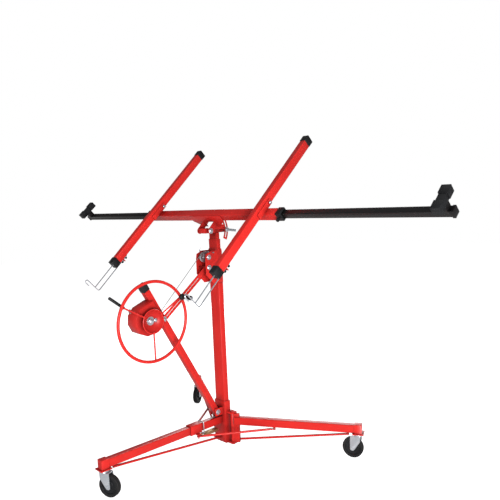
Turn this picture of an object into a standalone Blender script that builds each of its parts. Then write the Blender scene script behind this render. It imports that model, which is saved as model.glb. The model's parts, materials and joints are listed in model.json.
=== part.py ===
"""Drywall panel lift: folding tripod, three-stage mast, hand winch and tilting cradle.

Metres, +Z up. X runs along the cradle beam and -Y is the operator's side. The origin is on
the floor, at the middle of the lift's outline. The mast stands (MAST_X, MAST_Y) from it,
because the right outrigger is pulled out further than the left one.
"""
import math

import bmesh
import bpy
from mathutils import Matrix, Vector

# ---------------------------------------------------------------- driving dimensions
MAST_X = -0.0700        # mast axis, from the middle of the outline
MAST_Y = 0.2213
GAP = 0.0003            # gap between pieces that touch
RUN = 0.0004            # extra radius of a bore over its pin
WALL = 0.0025           # tube walls
ROUND = 24              # sides of a turned piece
SMALL = 12              # sides of a bolt

OUTER = (0.086, 0.038)  # mast tubes, X by Y
MIDDLE = (0.079, 0.031)
INNER = (0.072, 0.024)
OUTER_Z = (0.035, 1.270)
MIDDLE_Z = (0.045, 1.330)
INNER_Z = (0.055, 1.3700)

POST = (0.096, 0.046)   # base post, X by Y
POST_Z = (0.030, 0.300)
LEG_Z = 0.180           # centre of the leg tubes
LEG = (0.040, 0.048)    # leg tube, width by height
FRONT_REACH = 0.860     # mast axis to the front caster
HINGE = (0.078, 0.012)  # rear leg hinge, from the mast axis
HINGE_BOLT = 0.006
REAR_REACH = 0.786      # rear hinge to the rear caster
REAR_ANGLE = math.radians(30)
LINK_ON_LEG = 0.270     # rear hinge to the link's pivot on the leg
SLEEVE_Y = -0.235       # link pivots on the sleeve
EAR_X = 0.040
LINK_Z = 0.141

WHEEL_R = 0.0635
WHEEL_SIDES = 32
AXLE_Z = WHEEL_R * math.cos(math.pi / WHEEL_SIDES)
TRAIL = 0.034
PLATE_Z = 0.150         # underside of the caster plates

FOOT = Vector((0, -0.062, 0.240))        # winch tube's hinge on the base post
TUBE_LEAN = math.radians(29.2)
TUBE = 0.040
TUBE_LENGTH = 0.958
DRUM = Vector((0, -0.556, 0.918))        # winch shaft
STRUT_PIN = Vector((0, -0.4305, 0.9000))  # brace strut's pin on the winch tube
STRUT_BOLT = Vector((0, -0.090, 1.162))   # brace strut's bolt on the mast plates
PULLEY = Vector((0, -0.090, 1.225))
RIM_R = 0.2225
RIM_X = 0.105
DRUM_R = 0.045
GROOVE_R = 0.028
MAST_LATCH = (-0.060, 1.252)
MAST_LATCH_R = 0.004
CABLE_R = 0.002

TILT = math.radians(43)
BEAM = Vector((0, -0.040, 1.480))        # centre of the cradle beam
BEAM_SIDE = 0.050
BEAM_HALF = 0.600
TILT_PIN = Vector((0, -0.070, 1.385))
CAM = Vector((0, 0.055, 1.385))
ARM_X = 0.500
ARM = (0.040, 0.050)                     # width along X, depth along the panel's normal
ARM_LOW, ARM_HIGH = -0.490, 0.570
CAP_LENGTH = 0.045
OUTRIGGER = 0.036
OUTRIGGER_START = 0.460
OUTRIGGER_RIGHT = 1.605   # each outrigger's end, from the mast axis
OUTRIGGER_LEFT = 1.465
REST_INSET = 0.030

# ---------------------------------------------------------------- scene and helpers
for old in list(bpy.data.objects):
    bpy.data.objects.remove(old, do_unlink=True)

model = bpy.data.collections.new("drywall_lift")
cutters = bpy.data.collections.new("cutters")
bpy.context.scene.collection.children.link(model)
bpy.context.scene.collection.children.link(cutters)

frame = bpy.data.objects.new("lift_frame", None)
frame.location = (MAST_X, MAST_Y, 0)
model.objects.link(frame)

CRADLE = Matrix.Translation(BEAM) @ Matrix.Rotation(TILT, 4, "X")
TUBE_AXES = Matrix.Translation(FOOT) @ Matrix.Rotation(TUBE_LEAN, 4, "X")
# A flat outline drawn in x, y stands in the YZ plane, its thickness along X.
UPRIGHT = Matrix(((0, 0, 1, 0), (1, 0, 0, 0), (0, 1, 0, 0), (0, 0, 0, 1)))


def material(name, colour, roughness, metallic):
    mat = bpy.data.materials.new(name)
    mat.use_nodes = True
    shader = mat.node_tree.nodes["Principled BSDF"]
    shader.inputs["Base Color"].default_value = (*colour, 1)
    shader.inputs["Roughness"].default_value = roughness
    shader.inputs["Metallic"].default_value = metallic
    return mat


RED = material("red_powder_coat", (0.72, 0.03, 0.03), 0.35, 0.0)
BLACK = material("black_plastic", (0.018, 0.018, 0.020), 0.55, 0.0)
BLACK_STEEL = material("black_enamel", (0.020, 0.020, 0.022), 0.35, 0.0)
ZINC = material("bright_zinc", (0.72, 0.76, 0.80), 0.30, 1.0)
BRONZE = material("yellow_zinc", (0.45, 0.30, 0.14), 0.40, 1.0)
RUBBER = material("black_rubber", (0.012, 0.012, 0.012), 0.70, 0.0)
ROPE = material("steel_rope", (0.45, 0.45, 0.43), 0.45, 1.0)


def from_bmesh(bm, name):
    mesh = bpy.data.meshes.new(name)
    bm.to_mesh(mesh)
    bm.free()
    obj = bpy.data.objects.new(name, mesh)
    cutters.objects.link(obj)
    return obj


def box(centre, size, axes=Matrix.Identity(4)):
    """A box, its centre and size given along axes."""
    bm = bmesh.new()
    place = axes @ Matrix.Translation(centre) @ Matrix.Diagonal((*size, 1))
    bmesh.ops.create_cube(bm, size=1, matrix=place)
    return from_bmesh(bm, "box")


def span(low, high, axes=Matrix.Identity(4)):
    """A box between two corners."""
    low, high = Vector(low), Vector(high)
    return box((low + high) / 2, high - low, axes)


def rod(start, end, radius, sides=SMALL, turn=0.0, end_radius=None):
    """A round bar between two points, or a cone with end_radius."""
    start, end = Vector(start), Vector(end)
    run = end - start
    place = Matrix.Translation((start + end) / 2) @ run.to_track_quat("Z", "Y").to_matrix().to_4x4()
    place = place @ Matrix.Rotation(turn, 4, "Z")
    bm = bmesh.new()
    bmesh.ops.create_cone(
        bm, cap_ends=True, segments=sides, radius1=radius,
        radius2=radius if end_radius is None else end_radius, depth=run.length, matrix=place)
    return from_bmesh(bm, "rod")


def curve_mesh(curve, name, axes=Matrix.Identity(4)):
    """A curve's evaluated mesh, with its caps welded."""
    draft = bpy.data.objects.new(name, curve)
    cutters.objects.link(draft)
    graph = bpy.context.evaluated_depsgraph_get()
    mesh = bpy.data.meshes.new_from_object(draft.evaluated_get(graph))
    bpy.data.objects.remove(draft, do_unlink=True)
    bm = bmesh.new()
    bm.from_mesh(mesh)
    bmesh.ops.remove_doubles(bm, verts=bm.verts, dist=0.00001)
    bmesh.ops.transform(bm, matrix=axes, verts=bm.verts)
    bmesh.ops.recalc_face_normals(bm, faces=bm.faces)
    return from_bmesh(bm, name)


def plate(outline, thickness, axes, holes=()):
    """A flat outline in x, y, extruded along z by thickness, half each way."""
    curve = bpy.data.curves.new("outline", "CURVE")
    curve.dimensions = "2D"
    curve.fill_mode = "BOTH"
    curve.extrude = thickness / 2
    for points in (outline, *holes):
        line = curve.splines.new("POLY")
        line.points.add(len(points) - 1)
        for point, (x, y) in zip(line.points, points):
            point.co = (x, y, 0, 1)
        line.use_cyclic_u = True
    return curve_mesh(curve, "plate", axes)


def wire(points, radius, resolution=2, closed=False):
    """A bent bar through points."""
    curve = bpy.data.curves.new("wire", "CURVE")
    curve.dimensions = "3D"
    curve.bevel_depth = radius
    curve.bevel_resolution = resolution
    curve.use_fill_caps = True
    line = curve.splines.new("POLY")
    line.points.add(len(points) - 1)
    for point, place in zip(line.points, points):
        point.co = (*place, 1)
    line.use_cyclic_u = closed
    return curve_mesh(curve, "wire")


def arc(centre, radius, start, end, steps):
    """Points of an arc, angles in degrees."""
    points = []
    for step in range(steps + 1):
        angle = math.radians(start + (end - start) * step / steps)
        points.append((centre[0] + radius * math.cos(angle), centre[1] + radius * math.sin(angle)))
    return points


def turned(profile, axes, steps=ROUND):
    """A profile of (radius, height) turned about z: closed, run anticlockwise."""
    mesh = bpy.data.meshes.new("turned")
    points = [(r, 0, z) for r, z in profile]
    edges = [(i, (i + 1) % len(points)) for i in range(len(points))]
    mesh.from_pydata(points, edges, [])
    draft = bpy.data.objects.new("turned", mesh)
    cutters.objects.link(draft)
    screw = draft.modifiers.new("turn", "SCREW")
    screw.steps = steps
    screw.render_steps = steps
    screw.use_merge_vertices = True
    screw.merge_threshold = 0.00001
    graph = bpy.context.evaluated_depsgraph_get()
    done = bpy.data.meshes.new_from_object(draft.evaluated_get(graph))
    bpy.data.objects.remove(draft, do_unlink=True)
    bm = bmesh.new()
    bm.from_mesh(done)
    bmesh.ops.transform(bm, matrix=axes, verts=bm.verts)
    bmesh.ops.recalc_face_normals(bm, faces=bm.faces)
    return from_bmesh(bm, "turned")


def boolean(target, others, operation):
    for other in others:
        step = target.modifiers.new(operation.lower(), "BOOLEAN")
        step.operation = operation
        step.solver = "EXACT"
        step.object = other
        other.hide_render = True
        other.display_type = "WIRE"
    return target


def join(target, *others):
    return boolean(target, others, "UNION")


def cut(target, *others):
    return boolean(target, others, "DIFFERENCE")


def finish(obj, name, mat, origin=(0, 0, 0), smooth=30):
    """Names a piece, puts its origin on its axis and hangs it on the lift's frame."""
    origin = Vector(origin)
    graph = bpy.context.evaluated_depsgraph_get()
    mesh = bpy.data.meshes.new_from_object(obj.evaluated_get(graph))
    mesh.transform(Matrix.Translation(-origin))
    mesh.name = name
    mesh.materials.clear()
    mesh.materials.append(mat)
    mesh.shade_smooth()
    mesh.set_sharp_from_angle(angle=math.radians(smooth))
    piece = bpy.data.objects.new(name, mesh)
    model.objects.link(piece)
    piece.parent = frame
    piece.location = origin
    bpy.data.objects.remove(obj, do_unlink=True)
    return piece


def square_tube(low, high, along, wall, axes=Matrix.Identity(4)):
    """A box between two corners, hollow along one axis (0, 1 or 2)."""
    low, high = Vector(low), Vector(high)
    inner_low = low + Vector((wall, wall, wall))
    inner_high = high - Vector((wall, wall, wall))
    inner_low[along] = low[along] - 0.01
    inner_high[along] = high[along] + 0.01
    return cut(span(low, high, axes), span(inner_low, inner_high, axes))


# ---------------------------------------------------------------- base
def half(size):
    return size[0] / 2, size[1] / 2


def build_base_post():
    x, y = half(POST)
    clear_x, clear_y = OUTER[0] / 2 + GAP, OUTER[1] / 2 + GAP
    body = span((-x, -y, POST_Z[0]), (x, y, POST_Z[1]))
    parts = []
    for side in (-1, 1):
        for low, high in ((0.030, 0.040), (0.225, 0.235)):
            inner, outer = side * (x - 0.002), side * (HINGE[0] + 0.017)
            parts.append(span((min(inner, outer), -0.010, low), (max(inner, outer), 0.034, high)))
        bolt = (side * HINGE[0], HINGE[1])
        parts.append(rod((*bolt, 0.023), (*bolt, 0.243), HINGE_BOLT))
        parts.append(rod((*bolt, 0.234), (*bolt, 0.241), 0.010, 6))
        parts.append(rod((*bolt, 0.023), (*bolt, 0.031), 0.010, 6))
        ear = side * 0.0225
        parts.append(span((min(ear, ear * 1.22), -0.084, 0.216), (max(ear, ear * 1.22), -y + 0.002, 0.264)))
    parts.append(rod((-0.034, FOOT.y, FOOT.z), (0.034, FOOT.y, FOOT.z), 0.006))
    for side in (-1, 1):
        parts.append(rod((side * 0.026, FOOT.y, FOOT.z), (side * 0.033, FOOT.y, FOOT.z), 0.010, 6))
    core = span((-clear_x, -clear_y, POST_Z[0] + 0.004), (clear_x, clear_y, POST_Z[1] + 0.01))
    finish(cut(join(body, *parts), core), "base_post", RED)


def build_mast():
    def stage(size, heights):
        x, y = half(size)
        return square_tube((-x, -y, heights[0]), (x, y, heights[1]), 2, WALL)

    outer = stage(OUTER, OUTER_Z)
    slot = box((0, -OUTER[1] / 2, 1.105), (0.010, 0.012, 0.050))
    finish(cut(outer, slot), "outer_mast", RED)
    finish(stage(MIDDLE, MIDDLE_Z), "middle_mast", RED)
    finish(stage(INNER, INNER_Z), "inner_mast", RED)


def leg_end(axes, reach):
    """Upright socket and top plate over a caster."""
    post = span((reach - 0.022, -0.022, PLATE_Z + 0.004), (reach + 0.022, 0.022, LEG_Z + 0.027), axes)
    plate_ = span((reach - 0.034, -0.034, PLATE_Z), (reach + 0.034, 0.034, PLATE_Z + 0.005), axes)
    return post, plate_


def build_front_leg():
    axes = Matrix.Rotation(-math.pi / 2, 4, "Z")
    start = POST[1] / 2 + GAP
    width, height = half(LEG)
    tube = span((start, -width, LEG_Z - height), (FRONT_REACH, width, LEG_Z + height), axes)
    cavity = span((start - 0.01, WALL - width, LEG_Z - height + WALL),
                  (FRONT_REACH - 0.030, width - WALL, LEG_Z + height - WALL), axes)
    finish(join(cut(tube, cavity), *leg_end(axes, FRONT_REACH)), "front_leg", RED)
    stay = rod((0, -start - 0.001, 0.060), (0, -FRONT_REACH + 0.055, 0.143), 0.007)
    finish(stay, "front_stay", RED)


def rear_axes(side):
    hinge = Matrix.Translation((side * HINGE[0], HINGE[1], 0))
    angle = REAR_ANGLE if side > 0 else math.pi - REAR_ANGLE
    return hinge @ Matrix.Rotation(angle, 4, "Z")


def build_rear_leg(side, name):
    axes = rear_axes(side)
    hinge = (side * HINGE[0], HINGE[1])
    width, height = half(LEG)
    tube = span((0.016, -width, LEG_Z - height), (REAR_REACH, width, LEG_Z + height), axes)
    knuckle = rod((*hinge, 0.0405), (*hinge, 0.2245), 0.0145, 16)
    web = span((0.004, -0.010, 0.0405), (0.045, 0.010, 0.2245), axes)
    link_stub = axes @ Vector((LINK_ON_LEG, 0, LEG_Z - height + 0.002))
    stub = rod(link_stub, link_stub - Vector((0, 0, 0.0110)), 0.008)
    bore = rod((*hinge, 0.0), (*hinge, 0.3), HINGE_BOLT + RUN, 16)
    cavity = span((0.050, WALL - width, LEG_Z - height + WALL),
                  (REAR_REACH - 0.030, width - WALL, LEG_Z + height - WALL), axes)
    drain = axes @ Vector((0.100, 0, 0))
    drain_hole = rod(drain + Vector((0, 0, LEG_Z - height - 0.01)), drain + Vector((0, 0, LEG_Z)), 0.004)
    body = join(knuckle, web, tube, stub, *leg_end(axes, REAR_REACH))
    finish(cut(body, bore, cavity, drain_hole), f"rear_leg_{name}", RED, (*hinge, 0))
    low = axes @ Vector((0.0470, 0, 0.060))
    high = axes @ Vector((REAR_REACH - 0.055, 0, 0.143))
    finish(rod(low, high, 0.007), f"rear_stay_{name}", RED, (*hinge, 0))


def build_sleeve():
    wide, tall = LEG[0] / 2 + 0.0045, LEG[1] / 2 + 0.0045
    low_y, high_y = SLEEVE_Y - 0.045, SLEEVE_Y + 0.040
    body = span((-wide, low_y, LEG_Z - tall), (wide, high_y, LEG_Z + tall))
    parts = []
    for side in (-1, 1):
        ear = sorted((side * (wide - 0.002), side * (EAR_X + 0.012)))
        parts.append(span((ear[0], SLEEVE_Y - 0.014, 0.151), (ear[1], SLEEVE_Y + 0.014, 0.156)))
        pin = Vector((side * EAR_X, SLEEVE_Y, 0))
        parts.append(rod(pin + Vector((0, 0, 0.128)), pin + Vector((0, 0, 0.152)), 0.005))
    clear = span((-LEG[0] / 2 - RUN, low_y - 0.01, LEG_Z - LEG[1] / 2 - RUN),
                 (LEG[0] / 2 + RUN, high_y + 0.01, LEG_Z + LEG[1] / 2 + RUN))
    finish(join(cut(body, clear), *parts), "leg_sleeve", RED, (0, SLEEVE_Y, LEG_Z))


def build_link(side, name):
    ear = Vector((side * EAR_X, SLEEVE_Y, LINK_Z))
    far = rear_axes(side) @ Vector((LINK_ON_LEG, 0, LINK_Z))
    run = (far - ear).normalized()
    body = rod(ear + run * 0.022, far - run * 0.022, 0.007)
    axes = Matrix.Translation(ear) @ run.to_track_quat("X", "Z").to_matrix().to_4x4()
    length = (far - ear).length
    near_eye = span((0, -0.009, -0.003), (0.030, 0.009, 0.003), axes)
    far_eye = span((length - 0.030, -0.009, -0.003), (length + 0.008, 0.009, 0.003), axes)
    ring = rod(ear - Vector((0, 0, 0.003)), ear + Vector((0, 0, 0.003)), 0.011, 16)
    bore = rod(ear - Vector((0, 0, 0.01)), ear + Vector((0, 0, 0.01)), 0.005 + RUN, 16)
    whole = cut(join(body, near_eye, far_eye, ring), bore)
    finish(whole, f"link_rod_{name}", RED, ear)


def build_latch():
    """Foot pedal on the base post and the wire stirrup on the sleeve that it catches."""
    pivot = Vector((0, -0.062, 0.128))
    channel = span((-0.017, pivot.y - 0.113, 0.114), (0.017, pivot.y + 0.004, 0.130))
    groove = span((-0.014, pivot.y - 0.120, 0.110), (0.014, pivot.y + 0.010, 0.127))
    finish(cut(channel, groove), "latch_pedal", BRONZE, pivot)
    low, high, reach, at = 0.1400, 0.2120, 0.0285, SLEEVE_Y + 0.052
    loop = [(-reach, at, low), (-reach, at, high), (reach, at, high), (reach, at, low)]
    finish(wire(loop, 0.003, closed=True), "latch_stirrup", ZINC, (0, at, LEG_Z))


def build_caster(name, x, y, heading):
    """Fork with its axle bolt, and its wheel, trailing towards heading."""
    axes = Matrix.Translation((x, y, 0)) @ Matrix.Rotation(math.radians(heading), 4, "Z")
    swivel = Vector((x, y, 0))

    def at(px, py, pz):
        return axes @ Vector((px, py, pz))

    crown = rod(at(0, 0, 0.136), at(0, 0, PLATE_Z - GAP), 0.026, ROUND)
    bridge = span((-0.014, -0.0235, 0.1325), (0.040, 0.0235, 0.1385), axes)
    parts = [bridge]
    outline = [(-0.016, 0.137), (-0.014, 0.105), (TRAIL - 0.013, AXLE_Z - 0.010),
               (TRAIL - 0.006, AXLE_Z - 0.016), (TRAIL + 0.006, AXLE_Z - 0.016),
               (TRAIL + 0.013, AXLE_Z - 0.010), (0.046, 0.115), (0.044, 0.137)]
    sheet = Matrix(((1, 0, 0, 0), (0, 0, -1, 0), (0, 1, 0, 0), (0, 0, 0, 1)))
    for side in (-1, 1):
        parts.append(plate(outline, 0.003, axes @ Matrix.Translation((0, side * 0.0205, 0)) @ sheet))
        parts.append(rod(at(TRAIL, side * 0.0215, AXLE_Z), at(TRAIL, side * 0.028, AXLE_Z), 0.009, 6))
    parts.append(rod(at(TRAIL, -0.022, AXLE_Z), at(TRAIL, 0.022, AXLE_Z), 0.005))
    finish(join(crown, *parts), f"caster_fork_{name}", ZINC, swivel)
    axle = Matrix.Translation(at(TRAIL, 0, AXLE_Z)) @ axes.to_3x3().to_4x4() @ Matrix.Rotation(
        math.pi / 2, 4, "X") @ Matrix.Rotation(math.pi / WHEEL_SIDES - math.pi / 2, 4, "Z")
    bore, rim = 0.005 + RUN, WHEEL_R
    profile = [(bore, -0.0175), (0.020, -0.0175), (0.024, -0.011), (0.044, -0.011), (0.048, -0.015),
               (rim - 0.004, -0.015), (rim, -0.011), (rim, 0.011), (rim - 0.004, 0.015),
               (0.048, 0.015), (0.044, 0.011), (0.024, 0.011), (0.020, 0.0175), (bore, 0.0175)]
    wheel = turned(profile, axle, WHEEL_SIDES)
    finish(wheel, f"caster_wheel_{name}", RUBBER, at(TRAIL, 0, AXLE_Z), 40)


# ---------------------------------------------------------------- mast head gear and pulley
def build_pulley_plates():
    outline = [(0.016, 1.060), (0.016, 1.262), (-0.070, 1.262), (-0.112, 1.245), (-0.118, 1.215),
               (-0.118, 1.120), (-0.060, 1.060)]
    inner = OUTER[0] / 2 + GAP
    for side, name in ((1, "right"), (-1, "left")):
        axes = Matrix.Translation((side * (inner + 0.0015), 0, 0)) @ UPRIGHT
        sheet = plate(outline, 0.003, axes)
        latch = [(x, *MAST_LATCH) for x in (-0.06, 0.06)]
        cut(sheet, rod(*latch, MAST_LATCH_R + RUN, 16))
        if side > 0:
            parts = []
            for bolt in (PULLEY, STRUT_BOLT):
                across = Vector((1, 0, 0))
                parts.append(rod(bolt - across * 0.056, bolt + across * 0.056, 0.005))
                parts.append(rod(bolt + across * 0.0455, bolt + across * 0.053, 0.009, 6))
            finish(join(sheet, *parts), "pulley_plate_right", RED)
        else:
            bores = [rod(b - Vector((0.06, 0, 0)), b, 0.005 + RUN, 16) for b in (PULLEY, STRUT_BOLT)]
            finish(cut(sheet, *bores), "pulley_plate_left", RED)


def build_pulley():
    axes = Matrix.Translation(PULLEY) @ Matrix.Rotation(math.pi / 2, 4, "Y")
    bore, lip = 0.005 + RUN, GROOVE_R + 0.004
    profile = [(bore, -0.010), (0.011, -0.010), (0.011, -0.006), (lip, -0.006), (GROOVE_R, -0.002),
               (GROOVE_R, 0.002), (lip, 0.006), (0.011, 0.006), (0.011, 0.010), (bore, 0.010)]
    finish(turned(profile, axes), "mast_pulley", ZINC, PULLEY)


def cable_route():
    """From the drum's mast side up to the pulley, over it, and into the mast."""
    run = (PULLEY - DRUM)
    distance = math.hypot(run.y, run.z)
    over = GROOVE_R + CABLE_R + GAP
    heading = math.atan2(run.z, run.y) + math.asin((DRUM_R + over) / distance)
    side = (math.cos(heading - math.pi / 2), math.sin(heading - math.pi / 2))
    start = (0.036, DRUM.y + side[0] * DRUM_R, DRUM.z + side[1] * DRUM_R)
    points = [start]
    first = math.degrees(heading) + 90
    for y, z in arc((PULLEY.y, PULLEY.z), over, first, -15, 14):
        points.append((0.0, y, z))
    points.append((0.0, -OUTER[1] / 2 - 0.004, 1.118))
    points.append((0.0, -OUTER[1] / 2 + 0.0005, 1.108))
    return points


def build_cable():
    finish(wire(cable_route(), CABLE_R), "lift_cable", ROPE)


def build_mast_latch():
    """Bent rod through the pulley plates that locks the mast down for carrying."""
    y, z = MAST_LATCH
    route = [(0.058, y, z), (-0.070, y, z), (-0.0745, y, z + 0.002), (-0.076, y, z + 0.007), (-0.076, y, z + 0.030)]
    finish(wire(route, MAST_LATCH_R), "mast_latch", ZINC, (0, y, z))


# ---------------------------------------------------------------- winch frame
def build_winch_tube():
    side = TUBE / 2
    tube = square_tube((-side, -side, -0.022), (side, side, TUBE_LENGTH), 2, WALL, TUBE_AXES)
    bore = rod(FOOT - Vector((0.05, 0, 0)), FOOT + Vector((0.05, 0, 0)), 0.006 + RUN, 16)
    stub = rod(STRUT_PIN + Vector((0.018, 0, 0)), STRUT_PIN + Vector((0.0235, 0, 0)), 0.012, 16)
    finish(join(cut(tube, bore), stub), "winch_tube", RED, FOOT)
    cap = span((-side - 0.0015, -side - 0.0015, TUBE_LENGTH + GAP),
               (side + 0.0015, side + 0.0015, TUBE_LENGTH + 0.046), TUBE_AXES)
    finish(cap, "winch_tube_cap", BLACK, FOOT)


def housing_outline(margin):
    """Round housing about the drum, run on to the winch tube."""
    centre = (DRUM.y, DRUM.z)
    lean = math.degrees(TUBE_LEAN)
    points = arc(centre, 0.088 - margin, 90 + lean + 5, 270 + lean - 5, 5)
    near = TUBE_AXES.inverted() @ DRUM
    for along in (-0.075 + margin, 0.075 - margin):
        corner = TUBE_AXES @ Vector((0, -0.0205 + (0.02 if margin else 0), near.z + along))
        points.append((corner.y, corner.z))
    return points


def build_housing():
    low, high = -0.0240, 0.0630
    centre = (low + high) / 2
    axes = Matrix.Translation((centre, 0, 0)) @ UPRIGHT
    shell = plate(housing_outline(0), high - low, axes)
    core = plate(housing_outline(0.003), high - low - 0.006, axes)
    shaft = rod((-0.05, DRUM.y, DRUM.z), (0.09, DRUM.y, DRUM.z), 0.008 + RUN, 16)
    lug_low = TUBE_AXES.inverted() @ DRUM
    lug = span((low, -0.0215, lug_low.z - 0.060), (low + 0.0035, 0.018, lug_low.z + 0.060), TUBE_AXES)
    finish(join(cut(shell, core, shaft), lug), "winch_housing", RED, FOOT)


def build_drum():
    axes = Matrix.Translation(DRUM) @ Matrix.Rotation(math.pi / 2, 4, "Y")
    profile = [(0.0, -0.0275), (0.008, -0.0275), (0.008, -0.0180), (0.060, -0.0180), (0.060, -0.0150),
               (DRUM_R - 0.003, -0.0150), (DRUM_R - 0.003, 0.0540), (0.060, 0.0540), (0.060, 0.0570),
               (0.008, 0.0570), (0.008, 0.0700), (0.0, 0.0700)]
    finish(turned(profile, axes), "cable_drum", ZINC, DRUM)


def wheel_point(angle, radius, x):
    angle = math.radians(angle)
    return Vector((x, DRUM.y + radius * math.cos(angle), DRUM.z + radius * math.sin(angle)))


def build_hand_wheel():
    rim_steps, rim_r = 48, 0.009
    ring = bpy.data.curves.new("rim", "CURVE")
    ring.dimensions = "3D"
    ring.bevel_depth = rim_r
    ring.bevel_resolution = 2
    line = ring.splines.new("POLY")
    line.points.add(rim_steps - 1)
    for step, point in enumerate(line.points):
        point.co = (*wheel_point(360 * step / rim_steps, RIM_R, RIM_X), 1)
    line.use_cyclic_u = True
    rim = curve_mesh(ring, "rim")
    axes = Matrix.Translation(DRUM) @ Matrix.Rotation(math.pi / 2, 4, "Y")
    bowl = [(0.0, 0.0704), (0.024, 0.0704), (0.045, 0.080), (0.060, 0.092), (0.0665, 0.105),
            (0.0640, 0.106), (0.0575, 0.0945), (0.043, 0.0835), (0.022, 0.0750), (0.011, 0.0750),
            (0.011, 0.084), (0.0, 0.084)]
    parts = [turned(bowl, axes)]
    for angle in (30, 150, 270):
        inner = wheel_point(angle, 0.0635, 0.1030)
        parts.append(rod(inner, wheel_point(angle, RIM_R, RIM_X), 0.0045))
    knob = wheel_point(30, RIM_R, 0)
    parts.append(rod(knob + Vector((RIM_X, 0, 0)), knob + Vector((0.214, 0, 0)), 0.004))
    finish(join(rim, *parts), "hand_wheel", RED, DRUM)
    axes = Matrix.Translation(knob) @ Matrix.Rotation(math.pi / 2, 4, "Y")
    bore = 0.004 + RUN
    grip = [(bore, 0.1165), (0.009, 0.1165), (0.0125, 0.128), (0.0135, 0.165), (0.0125, 0.195),
            (0.009, 0.206), (bore, 0.206)]
    finish(turned(grip, axes, 16), "wheel_knob", BLACK, knob)


def build_brake():
    along = Vector((0, -0.765, 0.644))
    start = Vector((-0.0300, DRUM.y, DRUM.z))
    axes = Matrix.Translation(start) @ Matrix.Rotation(math.atan2(along.z, along.y), 4, "X")
    bar = span((-0.002, 0.0, -0.010), (0.002, 0.090, 0.010), axes)
    disc = rod(start - Vector((0.002, 0, 0)), start + Vector((0.002, 0, 0)), 0.040, ROUND)
    neck = rod(start + along * 0.085, start + along * 0.105 - Vector((0.020, 0, 0)), 0.005)
    finish(join(disc, bar, neck), "brake_lever", ZINC, DRUM)
    tip = start + along * 0.1085 - Vector((0.0235, 0, 0))
    grip = rod(tip, tip + along * 0.110 - Vector((0.016, 0, 0)), 0.0088, 16)
    finish(grip, "brake_grip", BLACK, DRUM)


def build_strut():
    run = STRUT_PIN - STRUT_BOLT
    length = run.length
    axes = Matrix.Translation(STRUT_BOLT + Vector((0.0265, 0, 0))) @ Matrix.Rotation(
        math.atan2(run.z, run.y), 4, "X") @ UPRIGHT
    ends = arc((length, 0), 0.016, -90, 90, 8) + arc((0, 0), 0.018, 90, 270, 8)
    slot = arc((length - 0.030, 0), 0.006, -90, 90, 6) + arc((0.100, 0), 0.006, 90, 270, 6)
    eye = arc((0, 0), 0.005 + RUN, 0, 345, 15)
    finish(plate(ends, 0.005, axes, (slot, eye)), "brace_strut", RED, STRUT_BOLT)


# ---------------------------------------------------------------- cradle
def build_head():
    bar = span((-0.030, -0.095, INNER_Z[1] + GAP), (0.030, 0.075, 1.4000))
    across = Vector((1, 0, 0))
    pin = rod(TILT_PIN - across * 0.062, TILT_PIN + across * 0.062, 0.006)
    cam = rod(CAM, CAM + across * 0.068, 0.004)
    heads = [rod(TILT_PIN + across * s * 0.0562, TILT_PIN + across * s * 0.062, 0.010, 6) for s in (-1, 1)]
    finish(join(bar, pin, cam, *heads), "head_bar", RED)


def build_tilt_bracket():
    """Two trapezium plates on the beam and two cheeks down to the tilt pin, one with a slotted arc."""
    top, foot, low = 0.145, 0.075, -0.072
    notch, notch_top, shallow = 0.040, -0.0305, -0.0320
    front = [(-top, 0.020), (-top, -0.026), (-foot, low), (-notch, low), (-notch, notch_top),
             (notch, notch_top), (notch, low), (foot, low), (top, -0.026), (top, 0.020)]
    rear = [(-top, 0.020), (-top, -0.026), (-foot, shallow), (foot, shallow), (top, -0.026), (top, 0.020)]
    lay = Matrix(((1, 0, 0, 0), (0, 0, -1, 0), (0, 1, 0, 0), (0, 0, 0, 1)))
    side = BEAM_SIDE / 2 + GAP
    plates = [plate(outline, 0.003, CRADLE @ Matrix.Translation((0, s * (side + 0.0015), 0)) @ lay)
              for s, outline in ((-1, front), (1, rear))]
    hinge = (TILT_PIN.y, TILT_PIN.z)
    radius = CAM.y - TILT_PIN.y
    corners = [CRADLE @ Vector((0, v, w)) for v, w in ((0.029, -0.060), (0.029, -0.027), (-0.027, -0.027))]
    parts = [plates[1]]
    for x in (-0.052, 0.052):
        axes = Matrix.Translation((x, 0, 0)) @ UPRIGHT
        outline = arc(hinge, 0.020, 150, 330, 8) + [(c.y, c.z) for c in corners]
        parts.append(plate(outline, 0.004, axes))
    axes = Matrix.Translation((0.052, 0, 0)) @ UPRIGHT
    fan = arc(hinge, radius + 0.014, -27, 47, 12) + arc(hinge, radius - 0.014, 47, -27, 12)
    slot = arc(hinge, radius + 0.0045, -22, 45, 12) + arc(hinge, radius - 0.0045, 45, -22, 12)
    quadrant = plate(fan, 0.004, axes, (slot,))
    rib = span((0.050, -0.060, 1.392), (0.054, 0.045, 1.420))
    parts += [rib, quadrant]
    bores = [rod(TILT_PIN - Vector((0.07, 0, 0)), TILT_PIN + Vector((0.07, 0, 0)), 0.006 + RUN, 16)]
    clear = plate(slot, 0.020, axes)
    finish(cut(join(plates[0], *parts), *bores, clear), "tilt_bracket", RED, TILT_PIN)


def build_cam_lever():
    start = CAM + Vector((0.0548, 0, 0))
    hub = rod(start, start + Vector((0.010, 0, 0)), 0.014, ROUND)
    lever = span((start.x + 0.003, 0, -0.008), (start.x + 0.007, 0.075, 0.008),
                 Matrix.Translation((0, CAM.y, CAM.z)) @ Matrix.Rotation(math.radians(-8), 4, "X"))
    bore = rod(CAM, CAM + Vector((0.08, 0, 0)), 0.004 + RUN, 16)
    finish(cut(join(hub, lever), bore), "cam_lever", ZINC, CAM)


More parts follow.
